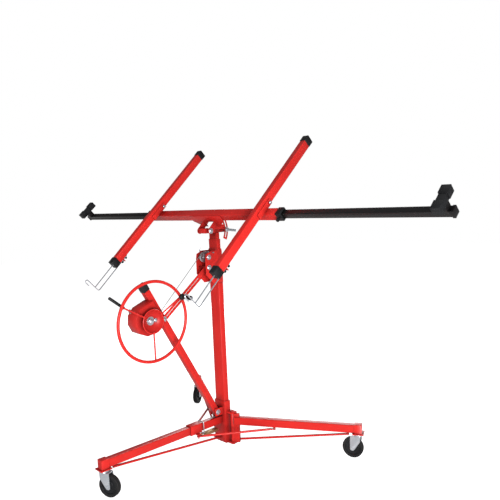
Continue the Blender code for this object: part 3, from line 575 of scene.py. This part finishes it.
for name in ("front", "right", "left"):
    node = "caster_wheel_" + name
    axle = joint_point(f"caster_{name}_roll")
    axis = joint_axis(f"caster_{name}_roll")
    tyre_profile = mirrored_profile(tyre_half)
    tyre_profile.append(tyre_profile[0])
    tyre = spin_profile(f"caster_tyre_{name}", tyre_profile, axle, axis)
    settle(tyre, body_of[node], "black_rubber")
    core = spin_profile(f"caster_core_{name}", mirrored_profile(core_half), axle, axis, 48)
    settle(core, body_of[node], "black_plastic")
    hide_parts(node)
    for side in (-1, 1):
        washer = [
            (0.0, 0.0056), (0.0, 0.0120), (0.0012, 0.0120), (0.0018, 0.0114), (0.0018, 0.0056), (0.0, 0.0056)]
        place = axle + axis * side * 0.0175
        label = f"axle_washer_{name}_{'out' if side > 0 else 'in'}"
        settle(spin_profile(label, washer, place, axis * side, 32),
               "caster_fork_" + name, "bright_zinc")
print("tyres", len(tyre.data.polygons), "faces each")

# %% [markdown]
# ## Caster swivels
#
# Above each fork a ball race turns inside a shallow pressed cup under the leg's plate. The cup is
# a turned piece with a rolled lip, and a dome nut closes the kingpin underneath.

# %% Swivel cups
for name in ("front", "right", "left"):
    swivel = joint_point(f"caster_{name}_swivel")
    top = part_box("caster_fork_" + name)[1].z
    cup = [(0.0, 0.0), (0.0, 0.0275), (-0.0030, 0.0285), (-0.0065, 0.0285), (-0.0080, 0.0270),
           (-0.0080, 0.0262), (-0.0010, 0.0262), (-0.0010, 0.0)]
    place = Vector((swivel.x, swivel.y, top))
    cup_piece = spin_profile("swivel_cup_" + name, cup, place, (0, 0, 1), 48)
    settle(cup_piece, body_of["caster_fork_" + name], "bright_zinc")

# %% [markdown]
# ## Hex bolts, nuts and washers
#
# One bolt head is modelled and copied to every joint: a six-sided primitive whose top edge is
# bevelled into a chamfer, on a round washer. Sizes follow the pin that each one sits on.

# %% Fastener helpers


def hex_head(name, place, axis, across, height, body, slot="bright_zinc", washer=1.5, stud=0.0):
    """A chamfered hexagon with its washer, facing along an axis, and a stud end if it's a nut."""
    axis = Vector(axis).normalized()
    turn = axis.to_track_quat("Z", "Y").to_matrix().to_4x4()
    seat = Matrix.Translation(Vector(place)) @ turn
    radius = across / math.sqrt(3)
    bpy.ops.mesh.primitive_cylinder_add(vertices=6, radius=radius, depth=height)
    head = bpy.context.active_object
    head.name = head.data.name = name
    head.location.z = height / 2 + 0.0012
    bpy.ops.object.transform_apply(location=True)
    soften_edges(head, 0.08 * across, 2)
    parts = [head]
    bpy.ops.mesh.primitive_cylinder_add(vertices=32, radius=radius * washer, depth=0.0012)
    disc = bpy.context.active_object
    disc.location.z = 0.0006
    bpy.ops.object.transform_apply(location=True)
    soften_edges(disc, 0.0004, 1)
    parts.append(disc)
    if stud:
        bpy.ops.mesh.primitive_cylinder_add(vertices=20, radius=across * 0.29, depth=stud + 0.002)
        end = bpy.context.active_object
        end.location.z = height + 0.0012 + stud / 2 - 0.001
        bpy.ops.object.transform_apply(location=True)
        soften_edges(end, 0.0008, 1)
        parts.append(end)
    bpy.ops.object.select_all(action="DESELECT")
    for part in parts:
        part.select_set(True)
    bpy.context.view_layer.objects.active = head
    bpy.ops.object.join()
    head.matrix_world = seat
    return settle(head, body, slot)


# %% Fasteners on the mast, winch and cradle
X = Vector((1, 0, 0))
STRUT_PIN = Vector((MAST.x, MAST.y - 0.4305, 0.900))
strut_bolt = joint_point("strut_swing")
pulley_axle = joint_point("pulley_turn")
foot = joint_point("winch_fold")
for name, place in (("pulley_bolt", pulley_axle), ("strut_bolt", strut_bolt)):
    centre = Vector((MAST.x, place.y, place.z))
    hex_head(name + "_nut", centre - X * 0.0464, -X, 0.0160, 0.0076, "base", stud=0.0030)
    hex_head(name + "_head", centre + X * 0.0464, X, 0.0180, 0.0090, "base")
hex_head("strut_pin_nut", STRUT_PIN + X * 0.0292, X, 0.0190, 0.0090, "winch_frame", stud=0.0050)
foot = Vector((MAST.x, foot.y, foot.z))
for side, name in ((1, "right"), (-1, "left")):
    hex_head("foot_bolt_" + name, foot + X * side * 0.0276, X * side, 0.0200, 0.0082, "base")
    pin = Vector((MAST.x, TILT_PIN.y, TILT_PIN.z))
    hex_head("tilt_pin_" + name, pin + X * side * 0.0545, X * side, 0.0200, 0.0078, "inner_mast")
hex_head("cam_stud_nut", Vector((MAST.x + 0.0650, CAM.y, CAM.z)), X, 0.0130, 0.0065, "cam_lever", washer=1.3)
for side, name in ((1, "right"), (-1, "left")):
    arm_x = middle("cross_arm_" + name).x
    for way in (-1, 1):
        place = CRADLE @ Vector((arm_x - BEAM.x + way * 0.0300, 0.050, 0.041))
        hex_head(f"arm_pin_{name}_{'out' if way > 0 else 'in'}", place, X * way, 0.0110, 0.0050, "cradle")

# %% [markdown]
# ## Pressed lips along the strut's slot
#
# The brace strut is a flat bar with a long slot. The press that cuts the slot leaves a lip along
# each side, so the opening that shows is a narrow slit.

# %% Slot lips
LIP_HALF, LIP_GAP = 0.0030, 0.0018
strut_run = STRUT_PIN - Vector((MAST.x, strut_bolt.y, strut_bolt.z))
strut_along = strut_run.normalized()
strut_across = X.cross(strut_along)
slot_start, slot_end = 0.0965, strut_run.length - 0.0265
strut_low, strut_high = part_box("brace_strut")
for side, name in ((1, "upper"), (-1, "lower")):
    centre = Vector((MAST.x, strut_bolt.y, strut_bolt.z)) + strut_along * (slot_start + slot_end) / 2
    centre += strut_across * side * (LIP_GAP + LIP_HALF)
    centre.x = (strut_low.x + strut_high.x) / 2
    bpy.ops.mesh.primitive_cube_add(size=2)
    lip = bpy.context.active_object
    lip.name = lip.data.name = "strut_slot_lip_" + name
    half = ((strut_high.x - strut_low.x) / 2 - 0.0006, (slot_end - slot_start) / 2, LIP_HALF)
    turned = Matrix((X, strut_along, strut_across)).transposed().to_4x4()
    lip.matrix_world = Matrix.Translation(centre) @ turned @ Matrix.Diagonal((*half, 1))
    only(lip)
    bpy.ops.object.transform_apply(location=True, rotation=True, scale=True)
    bevel = lip.modifiers.new("bevel", "BEVEL")
    bevel.width = 0.0007
    bevel.segments = 2
    apply_modifiers(lip)
    settle(lip, "brace_strut", "red_powder_coat")

# %% [markdown]
# ## Rivets on the link rods
#
# The link rods turn on plain pins whose ends are peened over into low domes. Each dome is a
# small turned piece under the rod's flat eye.

# %% Rivet domes
sleeve = joint_point("link_right_turn")
dome = [(0.0, 0.0), (0.0, 0.0096), (0.0016, 0.0094), (0.0034, 0.0078), (0.0046, 0.0048), (0.0050, 0.0)]
LINK_UNDER = sleeve.z - 0.0036
DOWN = Vector((0, 0, -1))
for side, name in ((1, "right"), (-1, "left")):
    near = joint_point(f"link_{name}_turn")
    settle(spin_profile("link_rivet_near_" + name, dome, Vector((near.x, near.y, LINK_UNDER)), DOWN, 28),
           "leg_sleeve", "bright_zinc")
    hinge = joint_point(f"rear_leg_{name}_fold")
    along = Vector((side * math.cos(math.radians(30)), math.sin(math.radians(30)), 0))
    far = hinge + along * 0.270
    settle(spin_profile("link_rivet_far_" + name, dome, Vector((far.x, far.y, LINK_UNDER)), DOWN, 28),
           "rear_leg_" + name, "bright_zinc")

# %% [markdown]
# ## Hand wheel
#
# The wheel is bent from round bar and welded to three thin spokes and a dished hub. The rim is a torus, the spokes
# are cylinders with a flattened weld bead where each meets the dish, and the dish is spun from its section. Inside
# the dish sit a stamped plate, a nut and a bolt.

# %% Rim, spokes and dish
RIM_X = MAST.x + 0.105
RIM_R, RIM_BAR = 0.2225, 0.0090
quarter = Matrix.Rotation(math.pi / 2, 4, "Y")
bpy.ops.mesh.primitive_torus_add(
    major_radius=RIM_R, minor_radius=RIM_BAR, major_segments=144, minor_segments=20)
wheel = bpy.context.active_object
wheel.name = wheel.data.name = "hand_wheel_rim"
wheel.matrix_world = Matrix.Translation((RIM_X, DRUM.y, DRUM.z)) @ quarter
only(wheel)
bpy.ops.object.transform_apply(location=True, rotation=True, scale=True)
bpy.ops.object.shade_smooth()
wheel_parts = [wheel]


def wheel_place(angle, radius, x=RIM_X):
    turn = math.radians(angle)
    return Vector((x, DRUM.y + radius * math.cos(turn), DRUM.z + radius * math.sin(turn)))


def round_bar(name, start, end, radius, sides=16):
    """A cylinder between two points with softened ends."""
    run = Vector(end) - Vector(start)
    bpy.ops.mesh.primitive_cylinder_add(vertices=sides, radius=radius, depth=run.length)
    bar = bpy.context.active_object
    bar.name = bar.data.name = name
    soften_edges(bar, radius * 0.2, 2, 60)
    turn = run.to_track_quat("Z", "Y").to_matrix().to_4x4()
    bar.matrix_world = Matrix.Translation((Vector(start) + Vector(end)) / 2) @ turn
    only(bar)
    bpy.ops.object.transform_apply(location=True, rotation=True, scale=True)
    return bar


for angle in (30, 150, 270):
    foot_of_spoke = wheel_place(angle, 0.062, RIM_X - 0.002)
    wheel_parts.append(round_bar("spoke", foot_of_spoke, wheel_place(angle, RIM_R), 0.0045))
dish = [(0.0704, 0.0), (0.0704, 0.024), (0.0745, 0.034), (0.0800, 0.045), (0.0920, 0.060), (0.1010, 0.0655),
        (0.1018, 0.0682), (0.1040, 0.0698), (0.1064, 0.0692), (0.1076, 0.0670), (0.1068, 0.0646),
        (0.1046, 0.0634), (0.0940, 0.0575), (0.0830, 0.043), (0.0780, 0.033),
        (0.0750, 0.022), (0.0750, 0.0110), (0.0830, 0.0110), (0.0840, 0.0100), (0.0840, 0.0)]
wheel_parts.append(spin_profile("dish", dish, Vector((MAST.x, DRUM.y, DRUM.z)), X, 72))
stud_foot = Vector((RIM_X, KNOB.y, KNOB.z))
wheel_parts.append(round_bar("knob_stud", stud_foot, stud_foot + X * 0.1085, 0.0040))


def join_pieces(parts, name):
    bpy.ops.object.select_all(action="DESELECT")
    for part in parts:
        part.select_set(True)
    bpy.context.view_layer.objects.active = parts[0]
    bpy.ops.object.join()
    parts[0].name = parts[0].data.name = name
    return parts[0]


wheel = settle(join_pieces(wheel_parts, "hand_wheel_finished"), "winch", "red_powder_coat")
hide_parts("hand_wheel")

# %% Hub plate, nut and bolt inside the dish
hub = Vector((MAST.x, DRUM.y, DRUM.z))
plate_profile = [(0.0, 0.0114), (0.0, 0.0235), (0.0010, 0.0245), (0.0022, 0.0240), (0.0022, 0.0200),
                 (0.0016, 0.0190), (0.0016, 0.0114), (0.0, 0.0114)]
settle(spin_profile("hub_plate", plate_profile, hub + X * 0.0753, X, 40), "winch", "bright_zinc")
hex_head("hub_nut", hub + X * 0.0842, X, 0.0240, 0.0100, "winch", stud=0.0060, washer=1.25)
hex_head("hub_bolt", wheel_place(0, 0.0330, MAST.x + 0.0790), X, 0.0120, 0.0065, "winch", washer=1.6)
for angle in (30, 150, 270):
    place = wheel_place(angle, 0.0655)
    bpy.ops.mesh.primitive_uv_sphere_add(segments=20, ring_count=12, radius=0.0075, location=place)
    bead = bpy.context.active_object
    bead.name = bead.data.name = f"spoke_weld_{angle}"
    bead.scale = (0.55, 1.0, 1.0)
    bpy.ops.object.shade_smooth()
    settle(bead, "winch", "red_powder_coat")

# %% [markdown]
# ## Turning knob
#
# The knob is a moulded grip with a round collar against the rim and a swelling towards its end,
# so the palm can push it without gripping. It is turned on its stud's axis and keeps a bore.

# %% Knob
knob_profile = [(0.1150, 0.0046), (0.1150, 0.0150), (0.1170, 0.0176), (0.1225, 0.0188), (0.1285, 0.0176),
                (0.1320, 0.0140), (0.1350, 0.0112), (0.1450, 0.0104), (0.1650, 0.0112), (0.1850, 0.0128),
                (0.1960, 0.0134), (0.2030, 0.0126), (0.2064, 0.0098), (0.2070, 0.0070), (0.2070, 0.0046),
                (0.1150, 0.0046)]
knob = spin_profile("wheel_knob_finished", knob_profile, Vector((MAST.x, KNOB.y, KNOB.z)), X, 40)
settle(knob, "wheel_knob", "black_plastic")
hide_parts("wheel_knob")
ring_profile = [(0.0, 0.0), (0.0, 0.0072), (0.0016, 0.0070), (0.0024, 0.0052), (0.0026, 0.0)]
settle(spin_profile("knob_end_ring", ring_profile, Vector((MAST.x + 0.2120, KNOB.y, KNOB.z)), X, 28),
       "winch", "bright_zinc")

# %% [markdown]
# ## Bent wire
#
# Hooks, the stirrup and the catch rod are cold-bent wire, so their corners are arcs with the
# bend radius of the tool. A route of a few corner points is rounded, given a round section as a
# curve, and turned into a mesh.

# %% Wire helpers


def rounded_route(corners, radius, steps=6):
    """Replaces each inner corner of a route with an arc-like bend."""
    corners = [Vector(c) for c in corners]
    route = [corners[0]]
    for before, corner, after in zip(corners, corners[1:], corners[2:]):
        reach = min(radius, (corner - before).length * 0.49, (after - corner).length * 0.49)
        first = corner + (before - corner).normalized() * reach
        last = corner + (after - corner).normalized() * reach
        for step in range(steps + 1):
            t = step / steps
            route.append(first * (1 - t) ** 2 + corner * 2 * t * (1 - t) + last * t ** 2)
    return route + [corners[-1]]


def round_wire(name, route, radius, closed=False, sides=3):
    """A mesh of a round bar along a route."""
    curve = bpy.data.curves.new(name, "CURVE")
    curve.dimensions = "3D"
    curve.bevel_depth = radius
    curve.bevel_resolution = sides
    curve.use_fill_caps = True
    spline = curve.splines.new("POLY")
    spline.points.add(len(route) - 1)
    for point, place in zip(spline.points, route):
        point.co = (*place, 1)
    spline.use_cyclic_u = closed
    wire = bpy.data.objects.new(name, curve)
    bpy.context.scene.collection.objects.link(wire)
    only(wire)
    bpy.ops.object.convert(target="MESH")
    bpy.ops.object.mode_set(mode="EDIT")
    bpy.ops.mesh.select_all(action="SELECT")
    bpy.ops.mesh.remove_doubles(threshold=0.00001)
    bpy.ops.mesh.normals_make_consistent(inside=False)
    bpy.ops.object.mode_set(mode="OBJECT")
    bpy.ops.object.shade_smooth_by_angle(angle=math.radians(50))
    return bpy.context.active_object


def cradle_box(node):
    """A piece's box in cradle axes."""
    inside = CRADLE.inverted()
    points = [inside @ v.co for v in nodes[node].data.vertices]
    return [Vector(pick(p[i] for p in points) for i in range(3)) for pick in (min, max)]


# %% Panel hooks
CURL = 0.0100
CURL_STEPS = 8
HOOK_BEND = 0.012
for name in ("right", "left"):
    low, high = cradle_box("panel_hook_" + name)
    arm_top = cradle_box("cross_arm_" + name)[1].z
    thick = (high.x - low.x) / 2
    x = (high.x + low.x) / 2
    along, under, inner = low.y + thick + 2 * CURL, low.z + thick, arm_top - 0.025
    crest = high.z - thick
    corners = [(high.y - thick, under), (along, under), (along, crest - CURL)]
    route = rounded_route([CRADLE @ Vector((x, v, w)) for v, w in corners], HOOK_BEND)
    for step in range(1, CURL_STEPS + 1):
        turn = math.pi * step / CURL_STEPS
        round_tip = (x, along - CURL + CURL * math.cos(turn), crest - CURL + CURL * math.sin(turn))
        route.append(CRADLE @ Vector(round_tip))
    route.append(CRADLE @ Vector((x, along - 2 * CURL, crest - CURL - 0.026)))
    hook = round_wire("hook_outer", route, thick)
    inner_run = [CRADLE @ Vector((x, v, inner)) for v in (along, high.y - 0.010)]
    tongue = round_wire("hook_inner", inner_run, thick)
    hook = join_pieces([hook, tongue], f"panel_hook_{name}_finished")
    settle(hook, "panel_hook_" + name, "bright_zinc")
    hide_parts("panel_hook_" + name)
    for step, v in enumerate((0.018, 0.055)):
        screw_at = CRADLE @ Vector((x, cradle_box("cross_arm_" + name)[0].y + v, under - 0.0115))
        grip = spin_profile(f"hook_screw_{name}_{step}", [
            (0.0, 0.0), (0.0, 0.0064), (0.0012, 0.0072), (0.0075, 0.0072), (0.0090, 0.0060), (0.0094, 0.0)],
            screw_at, PANEL_NORMAL, 18)
        settle(grip, "cradle", "black_plastic")

# %% Stirrup, catch rod and its spring
ROD_BEND = 0.009
low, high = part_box("latch_stirrup")
loop_y, bar_r = (low.y + high.y) / 2, (high.y - low.y) / 2
corners = [(low.x + bar_r, low.z + bar_r), (low.x + bar_r, high.z - bar_r),
           (high.x - bar_r, high.z - bar_r), (high.x - bar_r, low.z + bar_r)]
middle_low = Vector((MAST.x, loop_y, low.z + bar_r))
route = rounded_route([middle_low] + [Vector((x, loop_y, z)) for x, z in corners] + [middle_low], ROD_BEND)
stirrup = round_wire("latch_stirrup_finished", route[:-1], bar_r, closed=True)
settle(stirrup, "leg_sleeve", "bright_zinc")
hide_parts("latch_stirrup")

low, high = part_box("mast_latch")
bar_r = (high.y - low.y) / 2
rod_y = (low.y + high.y) / 2
left_x, base_z = low.x + bar_r, low.z + bar_r
corners = [(high.x, base_z), (left_x, base_z), (left_x, high.z)]
route = rounded_route([Vector((x, rod_y, z)) for x, z in corners], ROD_BEND)
catch = round_wire("mast_latch_finished", route, bar_r)
settle(catch, "mast_latch", "bright_zinc")
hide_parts("mast_latch")


def coil_route(start, end, radius, turns, steps=14):
    """Points of a helix between two places."""
    start, end = Vector(start), Vector(end)
    turn = (end - start).to_track_quat("Z", "Y").to_matrix()
    count = turns * steps
    return [start + (end - start) * i / count + turn @ Vector((
        radius * math.cos(2 * math.pi * i / steps), radius * math.sin(2 * math.pi * i / steps), 0))
        for i in range(count + 1)]


spring_y = Vector((0, rod_y, base_z))
route = coil_route(spring_y + X * (MAST.x - 0.0475), spring_y + X * (MAST.x - 0.0650), 0.0064, 7)
settle(round_wire("catch_spring", route, 0.0008, sides=1), "base", "bright_zinc")

# %% [markdown]
# ## Lift cable
#
# Wire rope is six strands laid round a core. At four millimetres thick the strands still catch
# the light one by one, so each is its own thin tube that winds round the cable's centre line.
# The line leaves the drum as a tangent, wraps the pulley and drops into the slot in the mast.

# %% Cable
ROPE_R = 0.0020
CORE_R = 0.0010
STRAND_R = 0.0007
STRANDS = 6
LAY = 0.030            # the length in which a strand goes once round
STEP = 0.0025
DRUM_R = 0.0450
GROOVE_R = 0.0280
SLOT_Z = 1.112         # where the cable enters the mast
pulley = Vector((MAST.x, pulley_axle.y, pulley_axle.z))
run_y, run_z = pulley.y - DRUM.y, pulley.z - DRUM.z
wrap = GROOVE_R + ROPE_R + 0.0003
heading = math.atan2(run_z, run_y) + math.asin((DRUM_R + wrap) / math.hypot(run_y, run_z))
off_drum = Vector((MAST.x + 0.036, DRUM.y + math.sin(heading) * DRUM_R, DRUM.z - math.cos(heading) * DRUM_R))
line = [off_drum]
first, last, steps = heading + math.pi / 2, math.radians(-15), 22
for step in range(steps + 1):
    angle = first + (last - first) * step / steps
    line.append(Vector((MAST.x, pulley.y + wrap * math.cos(angle), pulley.z + wrap * math.sin(angle))))
line += [Vector((MAST.x, MAST.y - 0.023, SLOT_Z + 0.010)), Vector((MAST.x, MAST.y - 0.0185, SLOT_Z - 0.002))]


def even_points(route, spacing):
    """A route's points at equal distances."""
    points, left = [route[0]], spacing
    for start, end in zip(route, route[1:]):
        length = (end - start).length
        while left <= length:
            points.append(start.lerp(end, left / length))
            left += spacing
        left -= length
    return points


centre_line = even_points(line, STEP)
strands = [round_wire("strand", centre_line, CORE_R, sides=1)]
for strand in range(STRANDS):
    route = []
    for i, place in enumerate(centre_line):
        ahead = centre_line[min(i + 1, len(centre_line) - 1)] - centre_line[max(i - 1, 0)]
        side = X.cross(ahead).normalized()
        other = ahead.normalized().cross(side)
        angle = 2 * math.pi * (strand / STRANDS + i * STEP / LAY)
        route.append(place + (side * math.cos(angle) + other * math.sin(angle)) * (ROPE_R - STRAND_R))
    strands.append(round_wire("strand", route, STRAND_R, sides=1))
cable = join_pieces(strands, "lift_cable_finished")
cable.data.materials.clear()
cable.data.materials.append(ROPE)
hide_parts("lift_cable")
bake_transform(cable)
print("cable", len(centre_line), "steps,", len(cable.data.polygons), "faces")

# %% [markdown]
# ## Last checks
#
# Pieces of the frame that keep their own mesh still need a finish.

# %% Finishes for what is left
for node, piece in nodes.items():
    if not piece.hide_render:
        piece.data.materials.clear()
        piece.data.materials.append(FINISHES[slot_of[node]])
        print("plain:", node)


bpy.context.view_layer.update()
